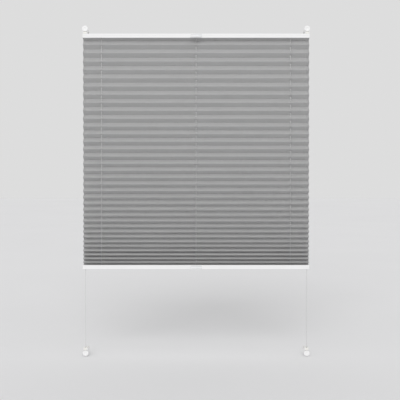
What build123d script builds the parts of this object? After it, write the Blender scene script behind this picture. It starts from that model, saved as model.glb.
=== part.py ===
from build123d import *

import os
from math import hypot, pi, sqrt

# Pleated blind that is clamped on a window sash, with two rails that slide on three tension cords.
# Millimetres. The origin is the middle of the sash's top edge, on its room-side face.
# +X is to the right as seen from the room, +Y is into the window, and +Z is up.

# Overall sizes
blind_width = 800.0  # over the end caps
fabric_drop = 800.0  # from the top rail's underside to the bottom rail's top
sash_height = 1134.0  # between the two edges that the brackets hook over
rail_standoff = 3.0  # from the sash's face to the rails
rail_clearance = 1.0  # from the raised top rail to the shoes above it

# Rails, both cut from one extrusion
rail_depth = 22.0
rail_height = 15.0
rail_wall = 1.2
rail_corner = 2.0
cavity_corner = 0.6
lip_wall = 1.0  # the two lips that hold the fabric's strip
fabric_slot = 14.6  # between the lips
groove_height = 2.2  # shallow line along the front
groove_depth = 0.4

# End caps
cap_flange = 1.0
cap_plug = 20.0
cap_fit = 0.15  # between the plug and the cavity
cap_edge = 0.6

# Strip that holds the fabric's end
strip_thickness = 0.8
strip_side_gap = 0.2  # from the strip to the cavity's corners
strip_end_gap = 1.5

# Cords
cord_diameter = 1.2
cord_bend = 4.0  # radius of the cord's middle at each turn
cord_clearance = 0.7  # between a cord and its channel
lane_pitch = 2.0  # the three cords run side by side, this far apart
cord_inset = 8.0  # from the blind's end to the outer cords
guide_spacing = 334.0  # from the middle to the outer rows of fabric holes

# Cord guides
guide_length = 16.0
guide_side_gap = 0.3
guide_top_gap = 0.2
guide_edge = 0.6

# Fabric
fabric_thickness = 0.4
fabric_side_gap = 0.4  # from a cap's flange to the fabric's edge
panel_length = 20.0  # from one fold to the next, along the fabric
pleat_count = 34
pitch_ratio = 0.41  # the lowest pleat's height, as a share of the highest
crowding = 1.7  # how late the pleats begin to close up towards the bottom
first_fold_drop = 8.0  # from the top rail down to the first back fold
last_fold_rise = 3.0  # from the bottom rail up to the last back fold
hole_diameter = 3.2
front_tab_inset = 0.9  # from the lip to the fold that leaves the slot
rear_tab_inset = 1.5

# Handles
handle_width = 40.0
handle_plate = 1.4
handle_reach = 9.0  # how far the finger lip stands out
handle_lip = 1.8
handle_drop = 0.6  # how far the lip ends below the rail
handle_corner = 3.0
handle_top_inset = 1.5  # from the rail's top edge down to the plate
handle_hook = 3.0  # the tab that clips under the rail
handle_edge = 0.6

# Clamp brackets
sash_gap = 20.0  # thickness of the sash edge between the pads
pad_thickness = 0.8
pad_edge_gap = 1.0  # from the sash's edge to the pads
body_width = 16.0
body_plate = 3.0
prong_reach = 11.5  # how far the body and its shoe reach over the sash
prong_wall = 2.0
prong_front_step = 0.6  # from the shoe's front forward to the prongs' front edges
arm_clearance = 0.5  # from the sash's edge to the arm
arm_width = 12.0
arm_thickness = 1.8
arm_reach = 13.0  # past the sash's face
screw_rise = 7.0  # from the sash's edge to the screw
head_radius = 8.5
head_depth = 11.0
head_edge = 1.0
prong_edge = 0.7
shoe_fit = 0.15
shoe_wall = 1.7  # in front of the cords
shoe_edge = 1.2
cord_seat = 6.0  # how deep the cords go into the shoe

# Knob and screw
knob_diameter = 21.0
knob_thickness = 5.0
knob_gap = 0.3  # from the head to the knob
knob_clearance = 0.5  # from the knob's rim to the shoe
knurl_count = 20
knurl_radius = 1.3
knurl_depth = 0.7
knob_edge = 0.6
dish_diameter = 9.0
dish_depth = 0.8
screw_diameter = 4.0
screw_seat = 3.2  # how deep the screw is moulded into the knob
screw_reach = 18.5  # past the sash's face
screw_running = 0.05  # radial clearance in the nut
screw_passing = 0.3  # radial clearance in the body and the jaw
screw_tip = 0.5

# Jaw
jaw_wall = 1.8
jaw_finger = 2.0
jaw_overlap = 9.5  # how far the finger reaches behind the sash
jaw_running = 0.3  # around the arm
jaw_side_wall = 2.0
jaw_edge = 0.5
jaw_start = 5.0  # from the sash's face to the jaw's front
jaw_tower_depth = 6.5
jaw_tower_cap = 5.0  # from the screw to the tower's top
nut_flats = 7.0
nut_thickness = 3.2
nut_fit = 0.1

# Worked out from the sizes above
blind_y = -(rail_standoff + rail_depth / 2)
top_rail_z = -prong_reach - rail_clearance - rail_height / 2
top_slot_z = top_rail_z - rail_height / 2
bottom_slot_z = top_slot_z - fabric_drop
bottom_rail_z = bottom_slot_z - rail_height / 2
profile_length = blind_width - 2 * cap_flange
cavity_width = rail_depth - 2 * rail_wall
cord_x = blind_width / 2 - cord_inset
channel = cord_diameter / 2 + cord_clearance
lane_half = lane_pitch + channel
strip_seat = -rail_height / 2 + lip_wall
strip_top = strip_seat + strip_thickness
ceiling = rail_height / 2 - rail_wall
# The cords run level through both rails, midway between the strip and the rail's closed face.
level = (strip_top + ceiling) / 2
plate_back = -pad_thickness
plate_front = plate_back - body_plate
head_front = plate_back - head_depth
shoe_front = blind_y - lane_half - shoe_wall
prong_front = shoe_front - prong_front_step
knob_back = head_front - knob_gap
knob_front = knob_back - knob_thickness
# The shoe and its prongs end below the knob's rim.
channel_end = screw_rise - knob_diameter / 2 - knob_clearance
nut_front = jaw_start + jaw_tower_depth - nut_thickness - nut_fit


def block(x0, x1, y0, y1, z0, z1):
    return Pos((x0 + x1) / 2, (y0 + y1) / 2, (z0 + z1) / 2) * Box(x1 - x0, y1 - y0, z1 - z0)


def rod(radius, y0, y1, z):
    """A round bar along Y, at height z."""
    return Pos(0, (y0 + y1) / 2, z) * Rot(90, 0, 0) * Cylinder(radius, y1 - y0)


def along_y(points, width):
    """Carries an outline in X and Z both ways along Y, to this width in all."""
    return extrude(Plane.XZ * make_face(Polyline(*points, close=True)), width / 2, both=True)


# ---------------------------------------------------------------- rails
# A rail is made about its own middle, with its slot facing down.


def rail_profile():
    outline = RectangleRounded(rail_depth, rail_height, rail_corner)
    cavity_height = ceiling - strip_seat
    cavity = Pos(0, strip_seat + cavity_height / 2) * RectangleRounded(
        cavity_width, cavity_height, cavity_corner
    )
    slot = Pos(0, strip_seat - lip_wall / 2) * Rectangle(fabric_slot, 2 * lip_wall)
    groove = Pos(-rail_depth / 2, 0) * Rectangle(2 * groove_depth, groove_height)
    section = outline - cavity - slot - groove
    profile = extrude(Plane.YZ * section, profile_length / 2, both=True)
    for x in (-cord_x, cord_x):
        profile -= block(x - channel, x + channel, -lane_half, lane_half, level, rail_height)
    return profile


def end_cap():
    """The left cap: its channel turns the cords from the hole above into the rail."""
    outline = RectangleRounded(rail_depth, rail_height, rail_corner)
    flange = Pos(-blind_width / 2, 0, 0) * extrude(Plane.YZ * outline, cap_flange)
    flange = fillet(flange.faces().sort_by(Axis.X)[0].edges(), cap_edge)
    start = -profile_length / 2
    end = start + cap_plug
    half = cavity_width / 2 - cap_fit
    plug = block(start, end, -half, half, strip_top + cap_fit, ceiling - cap_fit)
    plug = chamfer(plug.edges().filter_by(Axis.X).group_by(Axis.Z)[-1], cavity_corner)
    outer = -cord_x - channel
    inner = -cord_x + channel
    cut = along_y(
        [
            (outer, level - channel),
            (end + 1, level - channel),
            (end + 1, level + channel),
            (inner, level + channel),
            (inner, rail_height),
            (outer, rail_height),
        ],
        2 * lane_half,
    )
    saddle = cut.edges().filter_by(Axis.Y).sort_by_distance((inner, 0, level + channel))[0]
    cut = fillet(saddle, cord_bend - channel)
    return flange + (plug - cut)


def retaining_strip():
    half_length = profile_length / 2 - strip_end_gap
    half_width = cavity_width / 2 - cavity_corner - strip_side_gap
    strip = block(-half_length, half_length, -half_width, half_width, strip_seat, strip_top)
    for x in (-guide_spacing, 0, guide_spacing):
        strip -= block(x - channel, x + channel, -lane_half, lane_half, -rail_height, rail_height)
    return strip


def cord_guide():
    """A block with a level channel that opens down over the fabric's holes, with a rounded turn each way."""
    half = cavity_width / 2 - guide_side_gap
    reach = guide_length / 2
    body = block(-reach, reach, -half, half, strip_top, ceiling - guide_top_gap)
    body = chamfer(body.edges().filter_by(Axis.Z), guide_edge)
    cut = along_y(
        [
            (-reach - 1, level - channel),
            (-channel, level - channel),
            (-channel, -rail_height),
            (channel, -rail_height),
            (channel, level - channel),
            (reach + 1, level - channel),
            (reach + 1, level + channel),
            (-reach - 1, level + channel),
        ],
        2 * lane_half,
    )
    turns = [
        cut.edges().filter_by(Axis.Y).sort_by_distance((side * channel, 0, level - channel))[0]
        for side in (-1, 1)
    ]
    return body - fillet(turns, cord_bend - channel)


def handle():
    """A grip clipped on the rail's front: a plate, a finger lip that curves out, and a tab under the rail."""
    front = -rail_depth / 2
    top = rail_height / 2 - handle_top_inset
    bottom = -rail_height / 2 - handle_drop
    rise = handle_reach - handle_plate  # the radius of the curve between the plate and the lip
    with BuildSketch(Plane.YZ) as section:
        with BuildLine():
            Line((front, top), (front, -rail_height / 2))
            Line((front, -rail_height / 2), (front + handle_hook, -rail_height / 2))
            Line((front + handle_hook, -rail_height / 2), (front + handle_hook, bottom))
            Line((front + handle_hook, bottom), (front - handle_reach, bottom))
            Line((front - handle_reach, bottom), (front - handle_reach, bottom + handle_lip))
            RadiusArc(
                (front - handle_reach, bottom + handle_lip),
                (front - handle_plate, bottom + handle_lip + rise),
                -rise,
            )
            Line((front - handle_plate, bottom + handle_lip + rise), (front - handle_plate, top))
            Line((front - handle_plate, top), (front, top))
        make_face()
    grip = extrude(section.sketch, handle_width / 2, both=True)
    lip_ends = grip.edges().filter_by(Axis.Z).sort_by(Axis.Y)[:2]
    grip = fillet(lip_ends, handle_corner)
    plate_ends = grip.edges().filter_by(Axis.Y).group_by(Axis.Z)[-1]
    grip = fillet(plate_ends, handle_corner)
    return fillet(grip.edges().filter_by(lambda edge: edge.center().Y < front - 0.01), handle_edge)


def rail_parts(rail):
    """The parts of one rail that turn over with it, in the rail's own frame."""
    guides = {"left": -guide_spacing, "middle": 0, "right": guide_spacing}
    parts = {
        f"{rail}_rail_profile": rail_profile(),
        f"{rail}_rail_left_cap": end_cap(),
        f"{rail}_rail_right_cap": Rot(0, 0, 180) * end_cap(),
        f"{rail}_rail_strip": retaining_strip(),
    }
    for side, x in guides.items():
        parts[f"{rail}_rail_{side}_cord_guide"] = Pos(x, 0, 0) * cord_guide()
    return parts


# ---------------------------------------------------------------- fabric


def fold_heights():
    """Heights of the back folds: the pleats' height shrinks slowly, then faster, towards the bottom."""
    spread = fabric_drop - first_fold_drop - last_fold_rise
    power = crowding + 1
    heights = []
    for i in range(pleat_count + 1):
        s = i / pleat_count
        share = (s - (1 - pitch_ratio) * s**power / power) / (1 - (1 - pitch_ratio) / power)
        heights.append(top_slot_z - first_fold_drop - spread * share)
    return heights


def fabric_line():
    """Y and Z of the sheet's middle line, from the top strip down to the bottom one."""
    heights = fold_heights()
    halves = [(a - b) / 2 for a, b in zip(heights, heights[1:])]
    depths = [sqrt(panel_length**2 - h**2) for h in halves]
    tab = lip_wall - fabric_thickness / 2
    front = -fabric_slot / 2 + front_tab_inset
    rear = fabric_slot / 2 - rear_tab_inset
    points = [(rear, top_slot_z + tab), (front, top_slot_z + tab)]
    for i, z in enumerate(heights):
        above = depths[max(i - 1, 0)]
        below = depths[min(i, pleat_count - 1)]
        points.append(((above + below) / 4, z))
        if i < pleat_count:
            points.append((-depths[i] / 2, z - halves[i]))
    points += [(rear, bottom_slot_z - tab), (front, bottom_slot_z - tab)]
    return points


def thickened(line, half):
    """Both sides of a line, each this far from it, with mitred folds."""
    normals = []
    for (y0, z0), (y1, z1) in zip(line, line[1:]):
        length = hypot(y1 - y0, z1 - z0)
        normals.append(((z0 - z1) / length, (y1 - y0) / length))
    sides = [[], []]
    for i, (y, z) in enumerate(line):
        (ay, az), (by, bz) = normals[max(i - 1, 0)], normals[min(i, len(normals) - 1)]
        reach = half / (1 + ay * by + az * bz)
        sides[0].append((y + (ay + by) * reach, z + (az + bz) * reach))
        sides[1].append((y - (ay + by) * reach, z - (az + bz) * reach))
    return sides[0] + sides[1][::-1]


def pleated_fabric():
    outline = [(y + blind_y, z) for y, z in thickened(fabric_line(), fabric_thickness / 2)]
    section = Plane.YZ * make_face(Polyline(*outline, close=True))
    sheet = extrude(section, profile_length / 2 - fabric_side_gap, both=True)
    height = fabric_drop + 2 * rail_height
    for x, lane in zip((-guide_spacing, 0, guide_spacing), (-1, 0, 1)):
        middle = Pos(x, blind_y + lane * lane_pitch, (top_slot_z + bottom_slot_z) / 2)
        sheet -= middle * Cylinder(hole_diameter / 2, height)
    return sheet


# ---------------------------------------------------------------- cords


def cord(start_side, hole_x, end_side, lane):
    """From a top shoe through the top rail, the fabric and the bottom rail to a bottom shoe."""
    y = blind_y + lane * lane_pitch
    seat = -prong_reach + cord_seat
    top_level = top_rail_z + level
    bottom_level = bottom_rail_z - level
    path = FilletPolyline(
        (start_side * cord_x, y, seat),
        (start_side * cord_x, y, top_level),
        (hole_x, y, top_level),
        (hole_x, y, bottom_level),
        (end_side * cord_x, y, bottom_level),
        (end_side * cord_x, y, -sash_height - seat),
        radius=cord_bend,
    )
    tube = sweep(Plane(path @ 0, z_dir=path % 0) * Circle(cord_diameter / 2), path)
    ideal = pi * cord_diameter**2 / 4 * path.length
    print(f"cord at x {hole_x:g}: {path.length:.1f} long, turns of {cord_bend:g}, ", end="")
    print(f"volume {tube.volume / ideal:.4f} of its section times its length")
    return tube


# ---------------------------------------------------------------- brackets
# A bracket is made on the sash's top edge: Z is out past the edge, and Y is into the window.


def clamp_body():
    """Two prongs that hold the shoe, a head for the screw, and an arm over the sash's edge."""
    half = body_width / 2
    head = block(-half, half, head_front, plate_back, channel_end, screw_rise)
    head += rod(head_radius, head_front, plate_back, screw_rise)
    rim = head.edges().filter_by(lambda edge: abs(edge.center().Y - head_front) < 0.01)
    head = chamfer(rim.sort_by(Axis.Z)[1:], head_edge)
    body = head + block(-half, half, plate_front, plate_back, -prong_reach, channel_end)
    prong = block(-half, prong_wall - half, prong_front, plate_front, -prong_reach, channel_end)
    prong = fillet(prong.edges().group_by(Axis.Y)[0], prong_edge)
    body += prong + mirror(prong, about=Plane.YZ)
    arm_top = arm_clearance + arm_thickness
    body += block(-arm_width / 2, arm_width / 2, plate_back, arm_reach, arm_clearance, arm_top)
    return body - rod(screw_diameter / 2 + screw_passing, 2 * head_front, arm_reach, screw_rise)


def body_pad():
    half = body_width / 2
    return block(-half, half, plate_back, 0, pad_edge_gap - prong_reach, -pad_edge_gap)


def tension_shoe():
    """A block that slides between the prongs, with a slot where the cords end."""
    half = body_width / 2 - prong_wall - shoe_fit
    top = channel_end - shoe_fit
    shoe = block(-half, half, shoe_front, plate_front - shoe_fit, -prong_reach, top)
    shoe = fillet(shoe.edges().group_by(Axis.Y)[0].filter_by(Axis.X), shoe_edge)
    lanes = block(
        -channel,
        channel,
        blind_y - lane_half,
        blind_y + lane_half,
        -prong_reach - 1,
        cord_seat - prong_reach,
    )
    return shoe - lanes


def clamp_knob():
    """A wheel with a knurled rim and a dished face, moulded on the screw's end."""
    radius = knob_diameter / 2
    knob = rod(radius, knob_front, knob_back, 0)
    knob = fillet(knob.edges().filter_by(GeomType.CIRCLE), knob_edge)
    groove = rod(knurl_radius, knob_front - 1, knob_back + 1, radius + knurl_radius - knurl_depth)
    for i in range(knurl_count):
        knob -= Rot(0, 360 * i / knurl_count, 0) * groove
    dish_ball = ((dish_diameter / 2) ** 2 + dish_depth**2) / (2 * dish_depth)
    knob -= Pos(0, knob_front + dish_depth - dish_ball, 0) * Sphere(dish_ball)
    knob -= rod(screw_diameter / 2, knob_back - screw_seat, knob_back + 1, 0)
    return Pos(0, 0, screw_rise) * knob


def clamp_screw():
    screw = rod(screw_diameter / 2, knob_back - screw_seat, screw_reach, screw_rise)
    return chamfer(screw.edges().sort_by(Axis.Y)[-1], screw_tip)


def clamp_jaw():
    """A slide that wraps the arm, a tower for the nut, and a finger behind the sash's edge."""
    inner = arm_width / 2 + jaw_running
    half = inner + jaw_side_wall
    arm_top = arm_clearance + arm_thickness
    roof = arm_top + jaw_running
    roof_top = roof + jaw_wall
    finger_front = sash_gap + pad_thickness
    jaw = block(-half, half, jaw_start, finger_front, arm_clearance + jaw_running, roof_top)
    jaw -= block(-inner, inner, jaw_start - 1, finger_front, 0, roof)
    jaw += block(-half, half, finger_front, finger_front + jaw_finger, -jaw_overlap, roof_top)
    jaw = fillet(jaw.faces().sort_by(Axis.Y)[-1].edges(), jaw_edge)
    tower_half = nut_flats / 2 + jaw_side_wall
    tower_end = jaw_start + jaw_tower_depth
    tower = block(-tower_half, tower_half, jaw_start, tower_end, roof, screw_rise + jaw_tower_cap)
    tower = chamfer(tower.edges().filter_by(Axis.Y).group_by(Axis.Z)[-1], head_edge)
    jaw += tower
    jaw -= rod(screw_diameter / 2 + screw_passing, jaw_start - 1, tower_end + 1, screw_rise)
    return jaw - hexagon(nut_flats + 2 * nut_fit, nut_front, tower_end + 1)


def hexagon(flats, y0, y1):
    """A six-sided bar along Y about the screw, with flats to the sides."""
    outline = RegularPolygon(flats / 2, 6, major_radius=False, rotation=30)
    return Pos(0, y1, screw_rise) * extrude(Plane.XZ * outline, y1 - y0)


def jaw_nut():
    nut = hexagon(nut_flats, nut_front, nut_front + nut_thickness)
    bore = rod(screw_diameter / 2 + screw_running, nut_front - 1, screw_reach, screw_rise)
    return nut - bore


def jaw_pad():
    half = arm_width / 2 + jaw_running + jaw_side_wall
    return block(-half, half, sash_gap, sash_gap + pad_thickness, -jaw_overlap, -pad_edge_gap)


# ---------------------------------------------------------------- assembly

top_rail_place = Pos(0, blind_y, top_rail_z)
bottom_rail_place = Pos(0, blind_y, bottom_rail_z) * Rot(0, 180, 0)
parts = {"pleated_fabric": pleated_fabric()}
for rail, place in (("top", top_rail_place), ("bottom", bottom_rail_place)):
    for name, piece in rail_parts(rail).items():
        parts[name] = place * piece
parts["top_rail_handle"] = Pos(0, blind_y, top_rail_z) * handle()
parts["bottom_rail_handle"] = Pos(0, blind_y, bottom_rail_z) * handle()
parts["left_cord"] = cord(-1, -guide_spacing, 1, -1)
parts["middle_cord"] = cord(-1, 0, 1, 0)
parts["right_cord"] = cord(1, guide_spacing, -1, 1)
bracket = {
    "clamp_body": clamp_body(),
    "body_pad": body_pad(),
    "tension_shoe": tension_shoe(),
    "clamp_knob": clamp_knob(),
    "clamp_screw": clamp_screw(),
    "clamp_jaw": clamp_jaw(),
    "jaw_nut": jaw_nut(),
    "jaw_pad": jaw_pad(),
}
corners = {
    "top_left": Pos(-cord_x, 0, 0),
    "top_right": Pos(cord_x, 0, 0),
    "bottom_left": Pos(-cord_x, 0, -sash_height) * Rot(0, 180, 0),
    "bottom_right": Pos(cord_x, 0, -sash_height) * Rot(0, 180, 0),
}
for corner, place in corners.items():
    for name, piece in bracket.items():
        parts[f"{corner}_{name}"] = place * piece

os.makedirs("parts", exist_ok=True)
for name, piece in parts.items():
    export_step(piece, f"parts/{name}.step")
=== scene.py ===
from math import radians

import bpy
import numpy as np
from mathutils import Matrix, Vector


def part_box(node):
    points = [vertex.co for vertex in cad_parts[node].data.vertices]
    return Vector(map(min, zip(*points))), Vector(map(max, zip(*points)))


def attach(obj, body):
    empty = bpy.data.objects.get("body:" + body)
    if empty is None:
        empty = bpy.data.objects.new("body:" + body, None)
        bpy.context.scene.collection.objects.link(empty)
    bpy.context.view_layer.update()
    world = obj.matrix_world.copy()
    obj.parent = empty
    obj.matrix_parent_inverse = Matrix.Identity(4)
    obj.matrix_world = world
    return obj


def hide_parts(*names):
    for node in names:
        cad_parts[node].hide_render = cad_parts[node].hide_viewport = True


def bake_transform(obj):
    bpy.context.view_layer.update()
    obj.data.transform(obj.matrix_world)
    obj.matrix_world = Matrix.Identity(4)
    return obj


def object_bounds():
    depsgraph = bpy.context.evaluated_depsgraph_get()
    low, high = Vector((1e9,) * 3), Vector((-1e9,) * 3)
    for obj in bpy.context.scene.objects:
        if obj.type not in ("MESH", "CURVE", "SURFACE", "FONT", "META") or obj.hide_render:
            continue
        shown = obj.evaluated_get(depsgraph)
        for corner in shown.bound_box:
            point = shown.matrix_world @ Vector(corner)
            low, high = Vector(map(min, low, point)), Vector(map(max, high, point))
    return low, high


# Pleated blind on clamp brackets. Metres, in the CAD's frame: the origin is the middle of the sash's top
# edge, +X is to the right as seen from the room, +Y is into the window, and +Z is up.

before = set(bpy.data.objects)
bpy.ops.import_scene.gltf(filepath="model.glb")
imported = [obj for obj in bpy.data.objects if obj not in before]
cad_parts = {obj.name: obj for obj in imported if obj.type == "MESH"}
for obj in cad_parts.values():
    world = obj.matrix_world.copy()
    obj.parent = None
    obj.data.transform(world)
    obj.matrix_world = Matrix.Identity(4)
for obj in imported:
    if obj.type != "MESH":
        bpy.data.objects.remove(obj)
cad_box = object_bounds()

CORNERS = ("top_left", "top_right", "bottom_left", "bottom_right")

# Cloth
CLOTH_THICKNESS = 0.00036
FOLD_ROUND = 0.02  # share of a panel over which its fold is rounded
COLUMN = 0.014  # between the cloth's columns of points
HOLE_RADIUS = 0.0016
PUNCHED_DEPTH = 0.008  # a panel that is less deep than this has no holes
HOLE_PATCH = 0.006  # half the width of the patch of cloth round a hole
PATCH_STEPS = 4  # spaces along each side of a patch
PATCH_ROWS = (0.12, 0.31, 0.5, 0.69, 0.88)  # shares of a panel: a patch reaches from the first to the last
WAVE_HEIGHT = 0.00003  # how far a fold wanders up and down along its length
WAVE_DEPTH = 0.00012  # and in and out
WAVE_LENGTHS = (0.61, 0.27, 0.13)
SLOT_MARGIN = 0.001  # nearer than this to a slot, a corner of the cloth is held by the rail

# Cords
CORD_RADIUS = 0.0006
CORD_BEND = 0.004  # radius of the cord's middle at each turn
CORD_SIDES = 12
CORD_LAP = 0.0002  # how far a run in a rail reaches past its last bend
CORD_REACH = 0.001  # from a rail's face to where two pieces of a cord meet
FREE_START = 0.03  # from the bottom rail down to the first of the free stretch's even rings
RUN_OFFSET = 0.0003  # from a rail's middle to the cords in it, away from the rail's slot

# Screws
THREAD_PITCH = 0.0007
THREAD_DEPTH = 0.00038
THREAD_SIDES = 28
THREAD_ROWS = 8  # to each turn
TIP_CHAMFER = 0.0005


# ---------------------------------------------------------------- materials

EVEN_SPREAD = (1.0, 1.0, 1.0)  # light inside a milky material spreads alike in red, green and blue
TEX_WAVE_BAND = 0.314  # how far apart a wave's bands are at a scale of 1
TEX_DIAGONAL_BAND = 0.628  # and a diagonal wave's


def linear(code):
    """An sRGB hex code as linear red, green, blue and alpha."""
    values = [int(code[i : i + 2], 16) / 255 for i in (1, 3, 5)]
    return [v / 12.92 if v <= 0.04045 else ((v + 0.055) / 1.055) ** 2.4 for v in values] + [1.0]


def add(tree, kind, inputs, **settings):
    """Adds a node. Each input is a value, or the socket that is linked to it."""
    node = tree.nodes.new("ShaderNode" + kind)
    for key, value in settings.items():
        setattr(node, key, value)
    for key, value in inputs.items():
        if isinstance(value, bpy.types.NodeSocket):
            tree.links.new(value, node.inputs[key])
        else:
            node.inputs[key].default_value = value
    return node


def new_material(name):
    """An empty node material, with its tree and its output."""
    material = bpy.data.materials.new(name)
    material.use_nodes = True
    tree = material.node_tree
    tree.nodes.clear()
    return material, tree, tree.nodes.new("ShaderNodeOutputMaterial")


def between(tree, factor, low, high):
    """Mixes two hex colours by a factor socket."""
    return add(
        tree, "Mix", {0: factor, 6: linear(low), 7: linear(high)}, data_type="RGBA"
    ).outputs[2]


def surface(name, low, high, patch, grain, relief, roughness, spread, edge, **shader):
    """A solid finish. Its colour drifts between two hex colours over patches of one size, and grain of
    another size gives relief and varies the roughness. Its sharp edges catch light as if rounded."""
    material, tree, output = new_material(name)
    place = add(tree, "TexCoord", {}).outputs["Object"]
    drift = add(tree, "TexNoise", {"Vector": place, "Scale": 1 / patch, "Detail": 3.0})
    fine = add(tree, "TexNoise", {"Vector": place, "Scale": 1 / grain, "Detail": 2.0})
    rough = add(
        tree,
        "MapRange",
        {"Value": fine.outputs["Fac"], "To Min": roughness - spread, "To Max": roughness + spread},
    )
    rounded = add(tree, "Bevel", {"Radius": edge}, samples=4)
    bump = add(
        tree,
        "Bump",
        {
            "Height": fine.outputs["Fac"],
            "Distance": relief,
            "Strength": 1.0,
            "Normal": rounded.outputs["Normal"],
        },
    )
    principled = add(
        tree,
        "BsdfPrincipled",
        {
            "Base Color": between(tree, drift.outputs["Fac"], low, high),
            "Roughness": rough.outputs["Result"],
            "Normal": bump.outputs["Normal"],
            **shader,
        },
    )
    tree.links.new(principled.outputs["BSDF"], output.inputs["Surface"])
    return material


# White powder coat on extruded aluminium: satin, with a faint orange peel about a millimetre across.
powder_coat = surface(
    "powder_coated_aluminium", "#eeeeee", "#f4f4f4",
    patch=0.06, grain=0.0011, relief=0.00005, roughness=0.38, spread=0.05, edge=0.0004,
    **{"IOR": 1.5},
)
# Injection-moulded nylon: bright white and slightly waxy, with a fine spark-eroded grain.
cap_nylon = surface(
    "moulded_white_nylon", "#ececeb", "#f2f2f1",
    patch=0.02, grain=0.0005, relief=0.00003, roughness=0.42, spread=0.06, edge=0.0003,
    **{"IOR": 1.53},
)
# Extruded PVC strip: matt white, with a soft drift in its whiteness.
strip_pvc = surface(
    "extruded_white_pvc", "#e9e9e6", "#f2f2ef",
    patch=0.03, grain=0.0009, relief=0.00001, roughness=0.5, spread=0.06, edge=0.0002,
    **{"IOR": 1.54},
)
# Moulded acetal: slippery and milky, so its shadows are soft.
acetal = surface(
    "moulded_natural_acetal", "#e9e8e3", "#f4f3ee",
    patch=0.01, grain=0.0007, relief=0.000008, roughness=0.3, spread=0.05, edge=0.0003,
    **{
        "IOR": 1.48,
        "Subsurface Weight": 0.15,
        "Subsurface Radius": EVEN_SPREAD,
        "Subsurface Scale": 0.001,
    },
)
# Moulded ABS: hard and even, with a satin sheen and a fine moulded grain.
abs_plastic = surface(
    "moulded_white_abs", "#ececec", "#f3f3f3",
    patch=0.015, grain=0.0006, relief=0.00003, roughness=0.34, spread=0.06, edge=0.0004,
    **{"IOR": 1.53},
)
# Polished ABS on the knobs: glossier than the brackets, so the knurls and the dish show.
knob_abs = surface(
    "polished_white_abs", "#eeeeee", "#f5f5f5",
    patch=0.012, grain=0.0012, relief=0.000015, roughness=0.22, spread=0.05, edge=0.0003,
    **{"IOR": 1.53},
)
# Milky polycarbonate: a shade greyer than the rail behind it, glossy, and pale where it is thin.
polycarbonate = surface(
    "moulded_milky_polycarbonate", "#dedfe0", "#e6e7e8",
    patch=0.012, grain=0.0016, relief=0.000008, roughness=0.16, spread=0.04, edge=0.0005,
    **{
        "IOR": 1.58,
        "Subsurface Weight": 0.3,
        "Subsurface Radius": EVEN_SPREAD,
        "Subsurface Scale": 0.002,
    },
)
# Zinc-plated steel: a bluish white metal with a slightly cloudy reflection.
zinc = surface(
    "zinc_plated_steel", "#b9bcbf", "#d3d5d6",
    patch=0.004, grain=0.0005, relief=0.000006, roughness=0.3, spread=0.08, edge=0.0001,
    **{"Metallic": 1.0},
)
# Cellular rubber: matt, with open pores under a millimetre across.
foam_rubber = surface(
    "cellular_rubber", "#cfcfcc", "#e4e4e1",
    patch=0.003, grain=0.0007, relief=0.00012, roughness=0.85, spread=0.06, edge=0.0002,
    **{"IOR": 1.5},
)


def pleated_polyester():
    """Woven polyester set with resin: warp and weft cross every 0.9 mm, drawn about twice as coarse as the
    real threads so that they show, and thicker threads run across as faint streaks."""
    thread = 0.0009
    material, tree, output = new_material("woven_grey_polyester")
    place = add(tree, "UVMap", {}, uv_map="cloth").outputs["UV"]
    bands = TEX_WAVE_BAND / thread
    weft = add(tree, "TexWave", {"Vector": place, "Scale": bands, "Distortion": 0.0}, bands_direction="Y")
    warp = add(tree, "TexWave", {"Vector": place, "Scale": bands, "Distortion": 0.0}, bands_direction="X")
    weave = add(
        tree, "Math", {0: weft.outputs["Fac"], 1: warp.outputs["Fac"]}, operation="MULTIPLY"
    ).outputs["Value"]
    # A thick thread is about 45 mm long and 1.1 mm high, and a cloud of tone is about 110 mm wide.
    across = add(tree, "Mapping", {"Vector": place, "Scale": (22.0, 900.0, 1.0)}).outputs["Vector"]
    slubs = add(tree, "TexNoise", {"Vector": across, "Scale": 1.0, "Detail": 3.0}).outputs["Fac"]
    clouds = add(tree, "TexNoise", {"Vector": place, "Scale": 9.0, "Detail": 2.0}).outputs["Fac"]
    streaked = between(tree, slubs, "#a5a5a5", "#b5b5b5")
    threads = add(
        tree,
        "Mix",
        {0: 0.22, 6: streaked, 7: between(tree, weave, "#909090", "#c5c5c5")},
        data_type="RGBA",
    ).outputs[2]
    toned = add(
        tree,
        "Mix",
        {0: 0.09, 6: threads, 7: between(tree, clouds, "#999999", "#bebebe")},
        data_type="RGBA",
    ).outputs[2]
    raised = add(tree, "Math", {0: slubs, 1: 0.6, 2: weave}, operation="MULTIPLY_ADD").outputs["Value"]
    bump = add(tree, "Bump", {"Height": raised, "Distance": 0.00006, "Strength": 0.6})
    rough = add(tree, "MapRange", {"Value": slubs, "To Min": 0.7, "To Max": 0.9})
    principled = add(
        tree,
        "BsdfPrincipled",
        {
            "Base Color": toned,
            "Roughness": rough.outputs["Result"],
            "Normal": bump.outputs["Normal"],
            "IOR": 1.5,
            "Specular IOR Level": 0.3,
            "Subsurface Weight": 0.35,
            "Subsurface Radius": EVEN_SPREAD,
            "Subsurface Scale": 0.0015,
            "Sheen Weight": 0.15,
            "Sheen Roughness": 0.5,
        },
    )
    tree.links.new(principled.outputs["BSDF"], output.inputs["Surface"])
    return material


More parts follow.
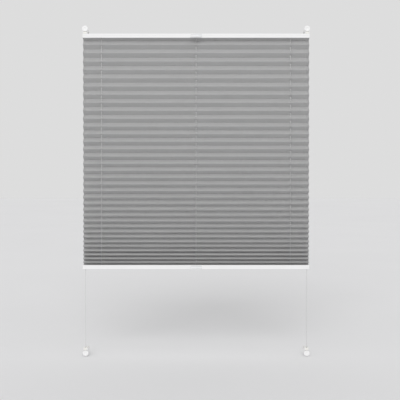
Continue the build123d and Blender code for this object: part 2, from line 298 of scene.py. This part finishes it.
def braided_polyester():
    """A plaited sleeve: strands cross both ways every 0.7 mm, pale, with darker gaps between them."""
    strand = 0.0007
    material, tree, output = new_material("braided_polyester_cord")
    place = add(tree, "TexCoord", {}).outputs["Object"]
    mirrored = add(tree, "Mapping", {"Vector": place, "Scale": (1.0, 1.0, -1.0)}).outputs["Vector"]
    heights = [
        add(
            tree,
            "TexWave",
            {"Vector": vector, "Scale": TEX_DIAGONAL_BAND / strand, "Distortion": 0.0},
            bands_direction="DIAGONAL",
        ).outputs["Fac"]
        for vector in (place, mirrored)
    ]
    plait = add(tree, "Math", {0: heights[0], 1: heights[1]}, operation="MAXIMUM").outputs["Value"]
    bump = add(tree, "Bump", {"Height": plait, "Distance": 0.0001, "Strength": 0.7})
    rough = add(tree, "MapRange", {"Value": plait, "To Min": 0.75, "To Max": 0.6})
    principled = add(
        tree,
        "BsdfPrincipled",
        {
            "Base Color": between(tree, plait, "#b2b2b2", "#d6d6d6"),
            "Roughness": rough.outputs["Result"],
            "Normal": bump.outputs["Normal"],
            "IOR": 1.5,
            "Sheen Weight": 0.1,
        },
    )
    tree.links.new(principled.outputs["BSDF"], output.inputs["Surface"])
    return material


cloth_finish = pleated_polyester()
cord_finish = braided_polyester()

# The CAD nodes that stay, by the end of their name
FINISHES = {
    "rail_profile": powder_coat,
    "cap": cap_nylon,
    "strip": strip_pvc,
    "cord_guide": acetal,
    "handle": polycarbonate,
    "clamp_body": abs_plastic,
    "clamp_jaw": abs_plastic,
    "clamp_knob": knob_abs,
    "tension_shoe": acetal,
    "jaw_nut": zinc,
    "pad": foam_rubber,
}


# ---------------------------------------------------------------- meshes


def mesh_piece(name, points, faces, material):
    """A smooth piece from arrays of points and faces, at the origin."""
    mesh = bpy.data.meshes.new(name)
    mesh.from_pydata(points.tolist(), [], faces)
    mesh.shade_smooth()
    mesh.materials.append(material)
    piece = bpy.data.objects.new(name, mesh)
    bpy.context.scene.collection.objects.link(piece)
    return piece


def tube_faces(rings, sides):
    """Quads between rings of points, and one face over each end."""
    first = np.arange(rings - 1)[:, None] * sides + np.arange(sides)
    turned = np.arange(rings - 1)[:, None] * sides + (np.arange(sides) + 1) % sides
    quads = np.stack([first, turned, turned + sides, first + sides], axis=-1).reshape(-1, 4)
    last = (rings - 1) * sides
    return quads.tolist() + [list(range(sides))[::-1], list(range(last, last + sides))]


def rounded_line(corners, radius, steps=8):
    """X and Z of a line whose corners, all of them square, are arcs: each goes from one radius before the
    corner to one radius after it, turning about the point that is a radius from both of its sides."""
    parts = [corners[:1]]
    angles = np.linspace(0, np.pi / 2, steps)[:, None]
    for before, corner, after in zip(corners, corners[1:], corners[2:]):
        back = (before - corner) / np.linalg.norm(before - corner)
        ahead = (after - corner) / np.linalg.norm(after - corner)
        parts.append(corner + radius * ((1 - np.sin(angles)) * back + (1 - np.cos(angles)) * ahead))
    parts.append(corners[-1:])
    return np.concatenate(parts)


def cord_piece(name, line, y):
    """A circle carried square to a line that stays at one Y. The ring at each point of the line is spanned
    by Y and by the line's own direction turned a quarter in X and Z."""
    along = np.gradient(line, axis=0)
    along /= np.linalg.norm(along, axis=1)[:, None]
    angle = np.arange(CORD_SIDES) * 2 * np.pi / CORD_SIDES
    out = CORD_RADIUS * np.cos(angle)
    points = np.empty((len(line), CORD_SIDES, 3))
    points[..., 0] = line[:, :1] + along[:, 1:] * out
    points[..., 1] = y + CORD_RADIUS * np.sin(angle)
    points[..., 2] = line[:, 1:] - along[:, :1] * out
    faces = tube_faces(len(line), CORD_SIDES)
    return mesh_piece(name, points.reshape(-1, 3), faces, cord_finish)


def stretch(piece):
    """Bakes the piece's placement into its points; the piece is tied to neither rail."""
    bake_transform(piece)


# ---------------------------------------------------------------- cloth

slot_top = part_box("top_rail_profile")[0].z
slot_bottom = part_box("bottom_rail_profile")[1].z


def cloth_corners():
    """Y and Z of the cloth's middle line at every fold, from the end in the top slot to the end in the
    bottom slot. The CAD cloth's edge has two corners at each fold, one on each face."""
    co = np.array([v.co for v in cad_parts["pleated_fabric"].data.vertices])
    edge = np.unique(co[np.isclose(co[:, 0], co[:, 0].min(), atol=1e-6), 1:].round(6), axis=0)
    edge = edge[np.argsort(-edge[:, 1])]
    free = edge[(edge[:, 1] < slot_top - SLOT_MARGIN) & (edge[:, 1] > slot_bottom + SLOT_MARGIN)]
    folds = free.reshape(-1, 2, 2).mean(axis=1)
    ends = []
    for held in (edge[edge[:, 1] >= slot_top], edge[edge[:, 1] <= slot_bottom]):
        z = (held[:, 1].min() + held[:, 1].max()) / 2
        ends.append([[held[:, 0].max(), z], [held[:, 0].min(), z]])
    return np.concatenate([ends[0], folds, ends[1]])


def pleated_cloth():
    """A sheet of two parameters: X, and the number of folds passed. Y and Z follow the folded line, whose
    folds are rounded, and every fold wanders by a sum of three sines along X with its own phases. Round
    holes let the cords through: each is a ring of quads between a circle and the grid's own points."""
    corners = cloth_corners()
    lengths = np.linalg.norm(np.diff(corners, axis=0), axis=1)
    panels = len(lengths)
    steps = np.array([0.0, FOLD_ROUND, *PATCH_ROWS, 1 - FOLD_ROUND])
    rows = np.append((np.arange(panels)[:, None] + steps).ravel(), panels)
    line = np.stack([np.interp(rows, np.arange(panels + 1), corners[:, i]) for i in (0, 1)], axis=1)
    folds = np.arange(len(steps), len(rows) - 1, len(steps))
    line[folds] = line[folds] / 2 + (line[folds - 1] + line[folds + 1]) / 4

    low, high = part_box("pleated_fabric")
    guides = [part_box(f"top_rail_{side}_cord_guide") for side in ("left", "middle", "right")]
    hole_x = [(a.x + b.x) / 2 for a, b in guides]
    hole_y = [sum(c.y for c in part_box(f"{side}_cord")) / 2 for side in ("left", "middle", "right")]
    stops = [low.x] + [x + side * HOLE_PATCH for x in hole_x for side in (-1, 1)] + [high.x]
    spans = []
    for i, (a, b) in enumerate(zip(stops, stops[1:])):
        count = PATCH_STEPS if i % 2 else max(1, round((b - a) / COLUMN))
        spans.append(np.linspace(a, b, count, endpoint=False))
    columns = np.append(np.concatenate(spans), high.x)

    random = np.random.default_rng(7)
    phases = random.uniform(0, 2 * np.pi, (2, len(WAVE_LENGTHS), panels + 1))
    free = np.ones(panels + 1)
    free[[0, 1, -2, -1]] = 0

    def place(passed, x):
        """Points of the sheet, for arrays of folds passed and of X."""
        y = np.interp(passed, rows, line[:, 0])
        z = np.interp(passed, rows, line[:, 1])
        before = np.minimum(passed.astype(int), panels - 1)
        u = passed - before
        shift = []
        for axis in (0, 1):
            away = 0
            for length, phase in zip(WAVE_LENGTHS, phases[axis]):
                for fold, weight in ((before, 1 - u), (before + 1, u)):
                    wave = np.sin(2 * np.pi * x / length + phase[fold])
                    away = away + weight * free[fold] * wave / len(WAVE_LENGTHS)
            shift.append(away)
        return np.stack([x, y + WAVE_DEPTH * shift[0], z + WAVE_HEIGHT * shift[1]], axis=-1)

    grid_rows, grid_x = np.meshgrid(rows, columns, indexing="ij")
    index = np.arange(grid_rows.size).reshape(grid_rows.shape)
    kept = np.ones((len(rows) - 1, len(columns) - 1), bool)
    passed, across, faces = [grid_rows.ravel()], [grid_x.ravel()], []
    made = grid_rows.size
    round_hole = (np.arange(4 * PATCH_STEPS) / PATCH_STEPS - 1.5) * np.pi / 2
    for x, y in zip(hole_x, hole_y):
        left = np.searchsorted(columns, x - HOLE_PATCH - 1e-6)
        right = left + PATCH_STEPS
        for k in np.nonzero(np.abs(np.diff(corners[:, 0])) > PUNCHED_DEPTH)[0]:
            first = k * len(steps) + 2
            last = first + PATCH_STEPS
            kept[first:last, left:right] = False
            ring = np.concatenate(
                [
                    index[first, left:right],
                    index[first:last, right],
                    index[last, right:left:-1],
                    index[last:first:-1, left],
                ]
            )
            middle = k + (y - corners[k, 0]) / (corners[k + 1, 0] - corners[k, 0])
            across.append(x + HOLE_RADIUS * np.cos(round_hole))
            passed.append(middle + HOLE_RADIUS * np.sin(round_hole) / lengths[k])
            inner = made + np.arange(len(ring))
            made += len(ring)
            faces.append(np.stack([ring, np.roll(ring, -1), np.roll(inner, -1), inner], axis=1))
    grid = np.stack([index[:-1, :-1], index[:-1, 1:], index[1:, 1:], index[1:, :-1]], axis=-1)
    faces.append(grid[kept])
    faces = np.concatenate(faces)
    used, faces = np.unique(faces, return_inverse=True)
    faces = faces.reshape(-1, 4)
    passed, across = np.concatenate(passed)[used], np.concatenate(across)[used]
    points = place(passed, across)
    piece = mesh_piece("pleated_cloth", points, faces.tolist(), cloth_finish)

    # The pattern's own map: X, and the distance along the cloth.
    down = np.interp(passed, np.arange(panels + 1), np.concatenate([[0], np.cumsum(lengths)]))
    uv = np.stack([across, down], axis=1)[faces.ravel()]
    piece.data.uv_layers.new(name="cloth").data.foreach_set("uv", uv.astype(np.float32).ravel())
    wall = piece.modifiers.new("cloth_thickness", "SOLIDIFY")
    wall.thickness = CLOTH_THICKNESS
    wall.offset = 0.0
    wall.use_even_offset = True
    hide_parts("pleated_fabric")
    stretch(piece)
    return hole_x


# ---------------------------------------------------------------- cords


def upright(x, *heights):
    """X and Z of a vertical line's points."""
    return np.array([[x, z] for z in heights])


def cord_run(side, hole_x, start, end):
    """One cord in six pieces: down from the top shoe, along the top rail, down inside the pleats, along
    the bottom rail, out of it, and down to the bottom shoe. The two pieces in the rails ride with them;
    the others are tied to no body."""
    low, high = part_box(f"{side}_cord")
    y = (low.y + high.y) / 2
    start_x, end_x = start * (high.x - CORD_RADIUS), end * (high.x - CORD_RADIUS)
    top_low, top_high = (corner.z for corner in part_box("top_rail_profile"))
    bottom_low, bottom_high = (corner.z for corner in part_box("bottom_rail_profile"))
    top_run = (top_low + top_high) / 2 + RUN_OFFSET
    bottom_run = (bottom_low + bottom_high) / 2 - RUN_OFFSET
    parting = bottom_low - CORD_REACH
    shoe_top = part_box("top_left_tension_shoe")[0].z
    shoe_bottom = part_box("bottom_left_tension_shoe")[1].z
    pieces = {
        "upper": upright(start_x, high.z, shoe_top, top_high, top_run + CORD_BEND),
        "in_top_rail": rounded_line(
            np.array(
                [
                    [start_x, top_run + CORD_BEND + CORD_LAP],
                    [start_x, top_run],
                    [hole_x, top_run],
                    [hole_x, top_low + CORD_REACH],
                ]
            ),
            CORD_BEND,
        ),
        "in_pleats": upright(hole_x, *np.linspace(top_low + CORD_REACH, bottom_high - CORD_REACH, 9)),
        "in_bottom_rail": rounded_line(
            np.array(
                [
                    [hole_x, bottom_high - CORD_REACH],
                    [hole_x, bottom_run],
                    [end_x, bottom_run],
                    [end_x, bottom_run - CORD_BEND - CORD_LAP],
                ]
            ),
            CORD_BEND,
        ),
        "leaving": upright(end_x, bottom_run - CORD_BEND, bottom_low, parting),
        "lower": upright(end_x, parting, *np.linspace(bottom_low - FREE_START, shoe_bottom, 8), low.z),
    }
    made = {name: cord_piece(f"{side}_cord_{name}", line, y) for name, line in pieces.items()}
    stretch(made["upper"])
    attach(made["in_top_rail"], "top_rail")
    stretch(made["in_pleats"])
    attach(made["in_bottom_rail"], "bottom_rail")
    stretch(made["leaving"])
    stretch(made["lower"])
    for piece in made.values():
        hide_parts(f"{side}_cord")


# ---------------------------------------------------------------- screws


def threaded_screw(corner):
    """A rod whose radius falls and rises once for every pitch along it, later by a whole pitch for each
    turn about it, so that the valleys make one helix. Its tip and its moulded-in end are plain."""
    node = f"{corner}_clamp_screw"
    low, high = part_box(node)
    radius = (high.x - low.x) / 2
    rings = int((high.y - low.y) / THREAD_PITCH * THREAD_ROWS) + 1
    y = np.linspace(low.y, high.y, rings)[:, None]
    angle = np.arange(THREAD_SIDES) * 2 * np.pi / THREAD_SIDES
    phase = (y / THREAD_PITCH - angle / (2 * np.pi)) % 1
    valley = 1 - np.abs(2 * phase - 1)
    inside = np.clip(np.minimum(y - low.y - THREAD_PITCH, high.y - THREAD_PITCH - y) / THREAD_PITCH, 0, 1)
    r = radius - THREAD_DEPTH * valley * inside
    r = np.minimum(r, radius - np.clip(TIP_CHAMFER - (high.y - y), 0, None))
    points = np.empty((rings, THREAD_SIDES, 3))
    points[..., 0] = (low.x + high.x) / 2 + r * np.sin(angle)
    points[..., 1] = y
    points[..., 2] = (low.z + high.z) / 2 + r * np.cos(angle)
    faces = tube_faces(rings, THREAD_SIDES)
    screw = mesh_piece(f"{corner}_threaded_screw", points.reshape(-1, 3), faces, zinc)
    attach(screw, f"{corner}_screw")
    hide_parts(node)


# ---------------------------------------------------------------- building it

hole_x = pleated_cloth()
for side, x, start, end in zip(("left", "middle", "right"), hole_x, (-1, -1, 1), (1, 1, -1)):
    cord_run(side, x, start, end)
for corner in CORNERS:
    threaded_screw(corner)
for name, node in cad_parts.items():
    for ending, material in FINISHES.items():
        if name.endswith(ending):
            node.data.materials.clear()
            node.data.materials.append(material)


# ---------------------------------------------------------------- stage

FLOOR_SIZE = 30.0
FLOOR_GAP = 0.002  # from the blind's lowest point down to the floor
CAMERA_PLACE = (0.0138, -2.5, -0.5)
CAMERA_DOWN = 0.63  # degrees that the camera looks down
LIGHT_FALL = 58  # degrees between the light's direction and straight down
LIGHT_SIDE = -6  # degrees that it comes from one side

floor_z = cad_box[0].z - FLOOR_GAP
edge = FLOOR_SIZE / 2
floor_mesh = bpy.data.meshes.new("floor")
floor_mesh.from_pydata(
    [(-edge, -edge, floor_z), (edge, -edge, floor_z), (edge, edge, floor_z), (-edge, edge, floor_z)],
    [],
    [(0, 1, 2, 3)],
)
# Matt pale paint, so that the floor stays behind the blind.
floor_mesh.materials.append(
    surface(
        "matt_floor_paint", "#e5e5e6", "#e9e9ea",
        patch=0.7, grain=0.01, relief=0.00002, roughness=0.85, spread=0.05, edge=0.0001,
    )
)
floor = bpy.data.objects.new("floor", floor_mesh)
bpy.context.scene.collection.objects.link(floor)

world = bpy.data.worlds.new("studio")
world.use_nodes = True
background = world.node_tree.nodes["Background"]
background.inputs["Color"].default_value = linear("#f4f4f4")
background.inputs["Strength"].default_value = 0.8
bpy.context.scene.world = world

sky = bpy.data.lights.new("soft_skylight", "SUN")
sky.angle = radians(40)
sky.energy = 1.0
sky_light = bpy.data.objects.new("soft_skylight", sky)
sky_light.rotation_euler = (radians(LIGHT_FALL), 0, radians(LIGHT_SIDE))
bpy.context.scene.collection.objects.link(sky_light)

camera_data = bpy.data.cameras.new("camera")
camera_data.sensor_width = 36.0
camera_data.lens = 63.24
camera_data.shift_y = -0.05
camera_data.clip_end = 100.0
camera = bpy.data.objects.new("camera", camera_data)
camera.location = CAMERA_PLACE
camera.rotation_euler = (radians(90 - CAMERA_DOWN), 0, 0)
bpy.context.scene.collection.objects.link(camera)
bpy.context.scene.camera = camera
bpy.context.scene.view_settings.view_transform = "Standard"
